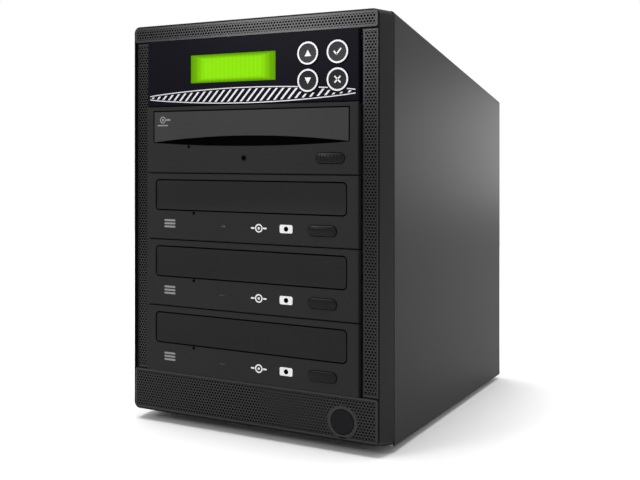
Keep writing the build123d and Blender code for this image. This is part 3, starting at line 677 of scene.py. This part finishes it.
@dataclass(frozen=True)
class KeySize:
    """Sizes of a key's face."""

    ring: float = 1.0 * MM  # width of the silver ring
    ring_in: float = 0.15 * MM  # cap's edge to the ring
    ring_h: float = 0.1 * MM  # thickness of the ring
    dome: float = 0.25 * MM  # how far the cap's middle is dished
    crown: float = 0.05 * MM  # rise of the cap's middle in its dish
    skirt: float = 0.06 * MM  # how far the cap's flat edge is behind the ring
    edge: float = 0.2 * MM  # how far the cap's rounded edge reaches back
    stem_r: float = 1.5 * MM  # radius of the stem
    stem_len: float = 4.0 * MM  # length of the stem
    mark: float = 2.1 * MM  # half the size of its mark
    stroke: float = 0.45 * MM  # half the width of a drawn line
    print_h: float = 0.04 * MM  # thickness of the print


class Key:
    """A round key: black cap, silver ring and mark."""

    def __init__(self, node: str, mark: Mark, size: KeySize) -> None:
        """Takes what it is made from.

        Args:
            node: its CAD node.
            mark: what it shows.
            size: its sizes.
        """
        self.node = node
        self.mark = mark
        self.size = size
        middle, low, high = middle_of(node)
        self.x, self.z = middle.x, middle.z
        self.front, self.back = low.y, high.y
        self.radius = (high.z - low.z) / 2

    def outlines(self) -> list[Outline]:
        """Draws the mark.

        Returns:
            Outlines of its strokes, anticlockwise.
        """
        half, stroke = self.size.mark, self.size.stroke
        if self.mark in (Mark.UP, Mark.DOWN):
            sign = 1 if self.mark is Mark.UP else -1
            corners = [(-half, -half * 0.85 * sign), (half, -half * 0.85 * sign), (0, half * 0.95 * sign)]
            if sign < 0:
                corners.reverse()
            return [[(self.x + x, self.z + z) for x, z in corners]]
        if self.mark is Mark.CROSS:
            reach = half * 0.8
            lines = [((-reach, -reach), (reach, reach)), ((-reach, reach), (reach, -reach))]
        else:
            start, turn, end = (-half, 0.1 * half), (-0.3 * half, -0.7 * half), (half, 0.8 * half)
            lines = [(start, turn), (turn, end)]
        return [stroke_outline(start, end, stroke, (self.x, self.z)) for start, end in lines]

    def build(self) -> None:
        """Makes the cap, the ring and the mark."""
        size = self.size
        body = f"{self.node}_body"
        face = self.front + size.dome
        rim = self.radius - size.ring_in - size.ring
        skirt, foot = self.front + size.skirt, self.back - size.stem_len
        cap = Piece(f"{self.node}_cap", KEY, body)
        cap.lathe(
            (self.x, self.z),
            [
                (AXIS, face + size.crown), (rim * 0.6, face + size.crown * 0.6), (rim, face),
                (rim, skirt), (self.radius - size.edge / 2, skirt), (self.radius, self.front + size.edge),
                (self.radius, foot), (size.stem_r, foot), (size.stem_r, self.back),
            ],
        )
        cap.build(replaces=(self.node,))
        ring = Piece(f"{self.node}_ring", SILVER, body)
        outer = circle(self.x, self.z, self.radius - size.ring_in)
        ring.band(outer, size.ring, self.front, self.front + size.ring_h)
        ring.build()
        mark = Piece(f"{self.node}_mark", SILVER, body)
        for outline in self.outlines():
            mark.prism(outline, face - size.print_h, face + size.ring_h)
        mark.build()


def stroke_outline(start: Point, end: Point, half: float, middle: Point) -> Outline:
    """Outline of a straight stroke.

    Args:
        start: one end, from the middle.
        end: the other end.
        half: half its width.
        middle: where it is drawn.

    Returns:
        Its four corners, anticlockwise.
    """
    along = Vector((end[0] - start[0], end[1] - start[1])).normalized()
    side = Vector((along.y, -along.x)) * half
    reach = along * half * 0.6
    first = Vector(start) - reach
    last = Vector(end) + reach
    corners = (first + side, last + side, last - side, first - side)
    return [(middle[0] + corner.x, middle[1] + corner.y) for corner in corners]


@dataclass(frozen=True)
class Ornament:
    """Printed band below the display: slanted bars between two hairlines, tallest in the middle."""

    left: float = -72.0 * MM  # X where it starts
    right: float = 72.0 * MM  # X where it ends
    drop: float = 36.3 * MM  # the bay's top to the band's middle
    tallest: float = 9.4 * MM  # its height in the middle
    shortest: float = 2.0 * MM  # its height at the ends
    bar: float = 1.5 * MM  # width of a bar
    pitch: float = 4.6 * MM  # from bar to bar
    slant: float = 0.9  # how far a bar leans for its height
    line: float = 0.55 * MM  # width of a hairline
    keep: float = 0.5 * MM  # clearance round a key
    step: float = 0.3 * MM  # length of the short parts that it is drawn with
    print_h: float = 0.04 * MM  # how far it stands out of the fascia
    root: float = 0.02 * MM  # how far it reaches into the fascia

    def half_height(self, x: float) -> float:
        """Gives half the band's height.

        Args:
            x: where.

        Returns:
            Half its height there.
        """
        share = (x - self.left) / (self.right - self.left)
        swell = math.sin(math.pi * min(max(share, 0.0), 1.0)) ** 0.8
        return (self.shortest + (self.tallest - self.shortest) * swell) / 2

    def build(self, top: float, front: float, keys: list[Key]) -> None:
        """Makes the print on the fascia.

        Args:
            top: Z of the bay's top.
            front: Y of the fascia's face.
            keys: keys that it passes behind.
        """
        piece = Piece("controller_ornament", PANEL_PRINT)
        middle = top - self.drop
        length, line, bar = self.right - self.left, self.line / 2, self.bar / 2
        for side in (-1, 1):
            for i in range(int(length / self.step)):
                x0, x1 = self.left + i * self.step, self.left + (i + 1) * self.step
                z0, z1 = (middle + side * self.half_height(x) for x in (x0, x1))
                quad = [(x0, z0 - line), (x1, z1 - line), (x1, z1 + line), (x0, z0 + line)]
                self._add(piece, quad, front, keys)
        for i in range(int(length / self.pitch)):
            foot = self.left + (i + 0.5) * self.pitch
            half = self.half_height(foot) - self.line * 1.6
            rows = max(int(2 * half / self.step), 1)
            for row in range(rows):
                z0, z1 = (-half + 2 * half * n / rows for n in (row, row + 1))
                x0, x1 = foot + z0 * self.slant, foot + z1 * self.slant
                low, high = middle + z0, middle + z1
                quad = [(x0 - bar, low), (x0 + bar, low), (x1 + bar, high), (x1 - bar, high)]
                self._add(piece, quad, front, keys)
        piece.build()

    def _add(self, piece: Piece, quad: Outline, front: float, keys: list[Key]) -> None:
        """Adds a small part of the print unless a key is in front of it.

        Args:
            piece: where the faces go.
            quad: its outline.
            front: Y of the fascia's face.
            keys: the keys.
        """
        for key in keys:
            reach = key.radius + self.keep
            if any(math.hypot(x - key.x, z - key.z) < reach for x, z in quad):
                return
        piece.prism(quad, front - self.print_h, front + self.root)


class Controller:
    """The top bay: gloss fascia, lit display, keys and their board."""

    MARKS = {"key_up": Mark.UP, "key_down": Mark.DOWN, "key_enter": Mark.TICK, "key_escape": Mark.CROSS}

    def __init__(self, key_size: KeySize, ornament: Ornament) -> None:
        """Takes the keys' sizes and the ornament."""
        self.keys = [Key(node, mark, key_size) for node, mark in self.MARKS.items()]
        self.ornament = ornament

    def build(self) -> None:
        """Dresses the panel and makes its keys and print."""
        dress(PANEL_GLOSS, "controller_fascia")
        dress(BOARD, "controller_board")
        middle, low, high = middle_of("display_pane")
        screen = ScreenFinish(
            "display_green", (0.178, 0.505, 0.0045), 0.30, relief=FLAT, glow=0.40, gloss=0.0,
            middle=(middle.x, middle.z), half=((high.x - low.x) / 2, (high.z - low.z) / 2),
        )
        dress(screen, "display_pane")
        for key in self.keys:
            key.build()
        _, low, high = middle_of("controller_fascia")
        self.ornament.build(high.z, low.y, self.keys)


# ---- drives
class DriveKind(Enum):
    """The two kinds of drive."""

    READER = "reader"
    WRITER = "writer"


@dataclass(frozen=True)
class DriveSize:
    """Places of a drive's small front details, from its bay's middle and top."""

    hole: Point  # place of the emergency hole
    disc_mark: Point  # place of the disc mark
    mark_r: float  # its radius
    bars_mark: Point = (-56.0 * MM, -32.1 * MM)  # place of the three bars
    block_mark: Point = (27.6 * MM, -32.5 * MM)  # place of the block
    hole_r: float = 1.0 * MM  # radius of the emergency hole
    print_h: float = 0.03 * MM  # thickness of the print
    root: float = 0.02 * MM  # how far the print and the grooves reach into the fascia
    gap: float = 0.45 * MM  # gap round the door
    door_corner: float = 2.0 * MM  # radius of a writer's door
    groove: float = 0.4 * MM  # width of the painted shade band round the door's gap
    arch_foot: float = -22.7 * MM  # where the reader's finger arch starts
    arch: float = 3.8 * MM  # its rise
    dip: float = 2.3 * MM  # dip of the opening below it
    arch_clear: float = 0.3 * MM  # clearance of the shade in the arch
    bay_gap: float = 0.25 * MM  # the fascia's top to the bay's top
    flange: float = 1.1 * MM  # rim of the eject button that stays behind the fascia
    button_edge: float = 0.45 * MM  # bevel of the eject button
    ribs: int = 7  # ribs on the reader's eject button
    rib_w: float = 0.9 * MM  # width of a rib
    rib_h: float = 0.2 * MM  # height of a rib
    jack_x: float = -1.5 * MM  # place of the reader's jack
    jack_r: float = 1.95 * MM  # its radius
    jack_wall: float = 0.6 * MM  # width of its rim
    jack_proud: float = 0.15 * MM  # how far it stands out
    jack_deep: float = 0.6 * MM  # how far it reaches back
    lamp: Triple = (-16.9 * MM, 4.8 * MM, 1.0 * MM)  # X, width, height of a writer's lamp


SIZES = {
    DriveKind.READER: DriveSize((-41.6 * MM, -25.7 * MM), (-61.5 * MM, -8.6 * MM), 2.2 * MM),
    DriveKind.WRITER: DriveSize((-37.8 * MM, -25.1 * MM), (9.0 * MM, -32.7 * MM), 2.6 * MM),
}


class Drive:
    """One optical drive: fascia, door, eject button, tray, mechanism and its front details."""

    def __init__(self, name: str) -> None:
        """Takes its place from the frame.

        Args:
            name: the drive's name there.
        """
        self.name = name
        self.kind = DriveKind.READER if name == "reader" else DriveKind.WRITER
        self.size = SIZES[self.kind]
        _, low, high = middle_of(f"{name}_fascia")
        self.face = low.y
        self.top = high.z + self.size.bay_gap

    def eject_button(self) -> None:
        """Makes the pill of the eject button, ribbed on the reader."""
        size = self.size
        node = f"{self.name}_eject_button"
        middle, low, high = middle_of(node)
        width, height = high.x - low.x - 2 * size.flange, high.z - low.z - 2 * size.flange
        button = Piece(f"{self.name}_eject_pill", EJECT, f"{self.name}_eject_body")
        pill = Rounded(middle.x, middle.z, width, height, height / 2)
        ribbed = self.kind is DriveKind.READER
        button.plate(pill, low.y + (size.rib_h if ribbed else 0.0), high.y, size.button_edge)
        if ribbed:
            pitch = (width - height) / (size.ribs - 1)
            for i in range(size.ribs):
                x = middle.x + (i - (size.ribs - 1) / 2) * pitch
                rib = Rounded(x, middle.z, size.rib_w, height * 0.72, size.rib_w / 2, 4)
                button.plate(rib, low.y, low.y + 2 * size.rib_h, size.rib_h * 0.75)
        button.build(replaces=(node,))

    def emergency_hole_shade(self) -> None:
        """Makes the emergency hole's painted shade: a dark disc on the face in place of the hole."""
        # dark disc standing slightly proud of the face: painted shade of the hole
        hole = Piece(f"{self.name}_pinhole_shade", PAINTED_SHADE_AND_PRINT)
        x, z = self.size.hole
        root = self.size.root
        hole.plate(circle(x, self.top + z, self.size.hole_r, 6), self.face - root, self.face + 5 * root)
        hole.build()

    def lamp(self) -> None:
        """Makes the busy lamp's lens, or the reader's round jack with painted shade in its bore."""
        size = self.size
        middle, _, _ = middle_of(f"{self.name}_eject_button")
        back = self.face + size.jack_deep
        if self.kind is DriveKind.READER:
            jack = Piece(f"{self.name}_jack", EJECT)
            rim = circle(size.jack_x, middle.z, size.jack_r)
            jack.band(rim, size.jack_wall, self.face - size.jack_proud, back)
            jack.build()
            # dark plate inside the rim: painted shade in the jack's bore
            bore = Piece(f"{self.name}_jack_bore_shade", PAINTED_SHADE_AND_PRINT)
            inner = circle(size.jack_x, middle.z, size.jack_r - size.jack_wall + size.root / 2)
            bore.plate(inner, (self.face + back) / 2, back)
            bore.build()
        else:
            lens = Piece(f"{self.name}_lamp", LED)
            x, width, height = size.lamp
            edge = height / 10
            lens.plate(Rounded(x, middle.z, width, height, 3 * edge, 4), self.face + edge, back, edge)
            lens.build()

    def door_gap_shade(self) -> None:
        """Makes the painted shade round the door's gap: a dark band on the opening's edge, and on the reader
        a dark plate under the finger arch.
        """
        size = self.size
        middle, low, high = middle_of(f"{self.name}_door")
        reach = size.gap + size.groove
        front, back = self.face - size.root / 2, self.face + 2.5 * size.root
        # dark band on the fascia round the door: painted shade of the gap
        groove = Piece(f"{self.name}_door_gap_shade", PAINTED_SHADE_AND_PRINT)
        width, height = high.x - low.x + 2 * reach, high.z - low.z + 2 * reach
        if self.kind is DriveKind.WRITER:
            opening = Rounded(middle.x, middle.z, width, height, size.door_corner + reach)
            groove.band(opening, size.groove, front, back)
            groove.build()
            return
        foot, crest = self.top + size.arch_foot, high.z + reach
        for side in (-1, 1):
            edge = side * (width - size.groove) / 2
            groove.plate(Rounded(edge, (crest + foot) / 2, size.groove, crest - foot, 0), front, back)
        groove.plate(Rounded(0, crest - size.groove / 2, width, size.groove, 0), front, back)
        groove.build()
        self.finger_painted_shade(foot, (high.x - low.x) / 2 - size.arch_clear)

    def finger_painted_shade(self, foot: float, half: float, steps: int = 32) -> None:
        """Makes the painted shade of the reader's finger recess, between the door's arch and the opening's
        dip.

        Args:
            foot: Z of its corners.
            half: half its width.
            steps: parts of each of its arcs.
        """
        clear = self.size.arch_clear
        places = [-half + 2 * half * i / steps for i in range(steps + 1)]
        swell = [1 - (x / half) ** 2 for x in places]
        below = [(x, foot - (self.size.dip - clear * 2 / 3) * rise) for x, rise in zip(places, swell)]
        above = [(x, foot + (self.size.arch - clear / 3) * rise) for x, rise in zip(places, swell)]
        # dark plate in front of the tray's lip: painted shade in the finger recess
        shade = Piece(f"{self.name}_finger_painted_shade", PAINTED_SHADE_AND_PRINT, f"{self.name}_tray_body")
        front = self.face + self.size.jack_deep * 2
        shade.prism(below + above[-2:0:-1], front, front + 0.7 * MM)
        shade.build()

    def bar(self, piece: Piece, x: float, z: float, size: Triple) -> None:
        """Prints a short bar about X and Z, with its width, height and corner in millimetres."""
        width, height, corner = (MM * length for length in size)
        piece.plate(Rounded(x, z, width, height, corner, 3), *self.print_y)

    @property
    def print_y(self) -> Point:
        """Y of the print's front and back."""
        return self.face - self.size.print_h, self.face + self.size.root

    def print_marks(self) -> None:
        """Prints plain generic marks: a disc, and on a writer also three bars and a block."""
        size = self.size
        radius, y = size.mark_r, self.print_y
        x, z = size.disc_mark[0], self.top + size.disc_mark[1]
        if self.kind is DriveKind.READER:
            marks = Piece("reader_marks", READER_PRINT, "reader_tray_body")
            marks.band(circle(x, z, radius), 0.7 * MM, *y)
            marks.plate(circle(x, z, radius * 0.35, 6), *y)
            self.bar(marks, x + radius * 1.9, z, (3.4, 1.1, 0.5))
            self.bar(marks, x, z - radius * 1.6, (8.0, 0.8, 0.4))
            marks.build()
            return
        marks = Piece(f"{self.name}_marks", DRIVE_PRINT)
        marks.band(circle(x, z, radius), 0.8 * MM, *y)
        marks.plate(circle(x, z, radius * 0.3, 6), *y)
        for side in (-1, 1):
            self.bar(marks, x + side * radius * 1.6, z, (2.6, 1.0, 0.5))
        block_x, block_z = size.block_mark[0], self.top + size.block_mark[1]
        marks.plate(Rounded(block_x, block_z, 8.6 * MM, 5.0 * MM, 1.0 * MM, 4), *y)
        marks.build()
        dot = Piece(f"{self.name}_block_dot", PAINTED_SHADE_AND_PRINT)
        dot.plate(circle(block_x, block_z, 1.5 * MM), y[0] - size.root, y[1])
        dot.build()
        bars = Piece(f"{self.name}_bars", READER_PRINT)
        for row in (-1, 0, 1):
            bar_z = self.top + size.bars_mark[1] + row * 2.0 * MM
            self.bar(bars, size.bars_mark[0], bar_z, (8.4, 1.2, 0.5))
        bars.build()

    def build(self) -> None:
        """Dresses the drive and makes its details."""
        name = self.name
        plastic, door = (READER, DOOR_GREY) if self.kind is DriveKind.READER else (WRITER, WRITER_DOOR)
        dress(plastic, f"{name}_fascia")
        dress(door, f"{name}_door")
        dress(TRAY, f"{name}_tray")
        dress(DRIVE_STEEL, f"{name}_chassis", f"{name}_lid")
        dress(HUB, f"{name}_spindle_hub")
        dress(SLED, f"{name}_pickup_sled")
        self.eject_button()
        self.emergency_hole_shade()
        self.lamp()
        self.door_gap_shade()
        self.print_marks()


# ---- power button
@dataclass(frozen=True)
class PowerButton:
    """The round button in the lower mesh panel."""

    radius: float = 7.2 * MM  # its radius
    dish: float = 0.35 * MM  # how far its face is dished
    lip: float = 0.7 * MM  # width of the face's raised edge
    edge: float = 0.4 * MM  # how far its rounded edge reaches back
    stem_r: float = 2.4 * MM  # radius of its stem
    stem_len: float = 4.0 * MM  # length of its stem

    def build(self) -> None:
        """Makes the button and dresses its switch."""
        dress(MODULE, "power_switch_body")
        middle, low, high = middle_of("power_button")
        face, foot = low.y, high.y - self.stem_len
        profile = [
            (AXIS, face + self.dish),
            (self.radius * 0.45, face + self.dish * 0.8),
            (self.radius * 0.8, face + self.dish * 0.25),
            (self.radius - self.lip, face),
            (self.radius - self.lip * 0.36, face + self.edge / 5),
            (self.radius, face + self.edge),
            (self.radius, foot),
            (self.stem_r, foot),
            (self.stem_r, high.y),
        ]
        button = Piece("power_button_cap", BUTTON, "power_button_body")
        button.lathe((middle.x, middle.z), profile, 64)
        button.build(replaces=("power_button",))


# ---- rear
@dataclass(frozen=True)
class Rear:
    """What the rear shows: power supply, inlet module, fans and their screws."""

    screw_r: float = 3.2 * MM  # radius of a fan screw's head
    rim_h: float = 0.6 * MM  # height of the head's upright rim
    head_h: float = 1.5 * MM  # height of the head
    slot_w: float = 0.7 * MM  # width of the cross in the head
    case_reach: float = 0.447  # places of the case fan's screws, as a share of its size
    psu_reach: float = 0.417  # places of the supply fan's screws, as a share of its size

    def screw(self, piece: Piece, x: float, z: float, face: float) -> None:
        """Adds a domed screw head with a cross, on a face that looks back.

        Args:
            piece: where the faces go.
            x: its place.
            z: its place.
            face: Y of the face that it sits on.
        """
        r = self.screw_r
        top = face + self.head_h
        profile = [(r, face), (r, face + self.rim_h), (r * 0.8, face + 2 * self.rim_h), (r * 0.4, top)]
        piece.lathe((x, z), profile, 24)
        for width, height in ((r * 1.1, self.slot_w), (self.slot_w, r * 1.1)):
            piece.plate(Rounded(x, z, width, height, self.slot_w / 7, 2), top - 0.2 * MM, top + 0.03 * MM)

    def build(self) -> None:
        """Dresses the rear and makes its screws."""
        dress(PSU_STEEL, "psu_case")
        dress(MODULE, "inlet_module")
        dress(ROCKER, "rocker_switch")
        dress(FAN, "psu_fan_frame", "psu_fan_rotor", "rear_fan_frame", "rear_fan_rotor")
        for fan, wall, share, finish in (
            ("rear_fan_frame", "rear_panel", self.case_reach, SCREW),
            ("psu_fan_frame", "psu_case", self.psu_reach, BRIGHT_SCREW),
        ):
            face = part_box(wall)[1].y
            middle, low, high = middle_of(fan)
            reach = (high.x - low.x) * share
            screws = Piece(f"{fan}_screws", finish)
            for x in (-reach, reach):
                for z in (-reach, reach):
                    self.screw(screws, middle.x + x, middle.z + z, face)
            screws.build()


# ---- stage and camera
@dataclass(frozen=True)
class SoftBox:
    """A square soft light."""

    name: str  # its name
    place: Triple  # where it stands
    target: Triple  # what it points at
    size: float  # its side
    power: float  # its power in watts

    def build(self) -> None:
        """Makes the light."""
        data = bpy.data.lights.new(self.name, "AREA")
        data.size = self.size
        data.energy = self.power
        made = placed(self.name, data)
        made.location = self.place
        made.rotation_euler = (Vector(self.target) - Vector(self.place)).to_track_quat("-Z", "Y").to_euler()
        log.info("%s: light of %.0f W", self.name, self.power)


@dataclass(frozen=True)
class Overhead:
    """The even light from above, as wide as a diffusing ceiling."""

    lean: Point = (4.0, -4.0)  # degrees that it leans from straight down, about X and Y
    spread: float = 34.0  # its angular width in degrees
    strength: float = 2.35  # its strength

    def build(self) -> None:
        """Makes the light."""
        data = bpy.data.lights.new("overhead", "SUN")
        data.energy = self.strength
        data.angle = math.radians(self.spread)
        made = placed("overhead", data)
        made.rotation_euler = (math.radians(self.lean[0]), math.radians(self.lean[1]), 0.0)
        log.info("overhead: light of strength %.1f", self.strength)


@dataclass(frozen=True)
class Studio:
    """Pale floor, white backdrop, a dimmer room in front, and soft lights."""

    backdrop: float = 1.0  # brightness behind the object
    room: float = 0.52  # brightness in front of it
    turn: Point = (-0.4, 0.6)  # Y of the directions between which one goes over into the other
    floor_tone: float = 0.86  # the floor's colour
    floor_half: float = 30.0  # half the floor's size
    lights: tuple[SoftBox | Overhead, ...] = (
        Overhead(),
        SoftBox("front_light", (-0.66, -1.40, 0.78), (0.0, -0.15, 0.25), 0.40, 6.8),
        SoftBox("side_light", (0.32, 1.65, 0.42), (0.09, 0.16, 0.22), 0.35, 2.2),
    )

    def surround(self) -> None:
        """Makes the surround: a white backdrop behind the object, dimmer towards its front."""
        world = bpy.data.worlds.new("surround")
        world.use_nodes = True
        graph = Graph(world.node_tree)
        back = world.node_tree.nodes["Background"]
        back.inputs["Color"].default_value = (1, 1, 1, 1)
        place = graph.node("TexCoord")
        split = graph.node("SeparateXYZ")
        start, end = self.turn
        level = graph.node("MapRange", From_Min=start, From_Max=end, To_Min=self.room, To_Max=self.backdrop)
        level.interpolation_type = "SMOOTHSTEP"
        graph.link(place, "Generated", split, "Vector")
        graph.link(split, "Y", level, "Value")
        graph.link(level, "Result", back, "Strength")
        bpy.context.scene.world = world

    def floor(self) -> None:
        """Makes the pale floor."""
        half = self.floor_half
        corners = [(-half, -half, 0), (half, -half, 0), (half, half, 0), (-half, half, 0)]
        mesh = bpy.data.meshes.new("floor")
        mesh.from_pydata(corners, [], [(0, 1, 2, 3)])
        tone = self.floor_tone
        paper = Finish(
            "steel_zinc", (tone, tone, tone), 0.9, relief=FLAT, mottle=0.01, gloss=0.1, name="floor_paper"
        )
        mesh.materials.append(paper.material())
        made = placed("floor", mesh)

    def build(self) -> None:
        """Makes the stage."""
        bpy.context.scene.view_settings.view_transform = "Standard"
        self.surround()
        self.floor()
        for light in self.lights:
            light.build()


@dataclass(frozen=True)
class PhotoCamera:
    """The photograph's camera: level, with a slight lean of the horizon as its picture was straightened."""

    eye: Triple = (0.2399, -0.5446, 0.1249)  # where it stands
    yaw: float = 22.96  # degrees that it is turned from +Y towards -X
    focal: float = 747.7 / 640  # focal length in picture widths
    shift: Point = ((320 - 358.3) / 640, (237.6 - 240) / 640)  # of its axis, in picture widths
    lean: float = 0.0474  # rise of the picture's horizontal for its width

    def build(self) -> None:
        """Makes the camera and looks through it."""
        data = bpy.data.cameras.new("photo_camera")
        data.lens = self.focal * data.sensor_width
        data.shift_x, data.shift_y = self.shift
        made = placed("photo_camera", data)
        lean = Matrix.Identity(4)
        lean[1][0] = self.lean
        turn = Matrix.Rotation(math.radians(self.yaw), 4, "Z") @ Matrix.Rotation(math.pi / 2, 4, "X")
        made.parent = placed("photo_camera_stand", None)
        made.matrix_parent_inverse = Matrix.Translation(self.eye) @ turn @ lean
        bpy.context.scene.camera = made


def main() -> None:
    """Builds the looks from the case outwards, then the stage."""
    logging.basicConfig(level=logging.INFO, format="%(name)s %(message)s")
    Case().build()
    FrontMesh(Perforation()).build()
    PowerButton().build()
    Controller(KeySize(), Ornament()).build()
    for name in DRIVES:
        Drive(name).build()
    Rear().build()
    Studio().build()
    PhotoCamera().build()


if __name__ == "__main__":
    main()
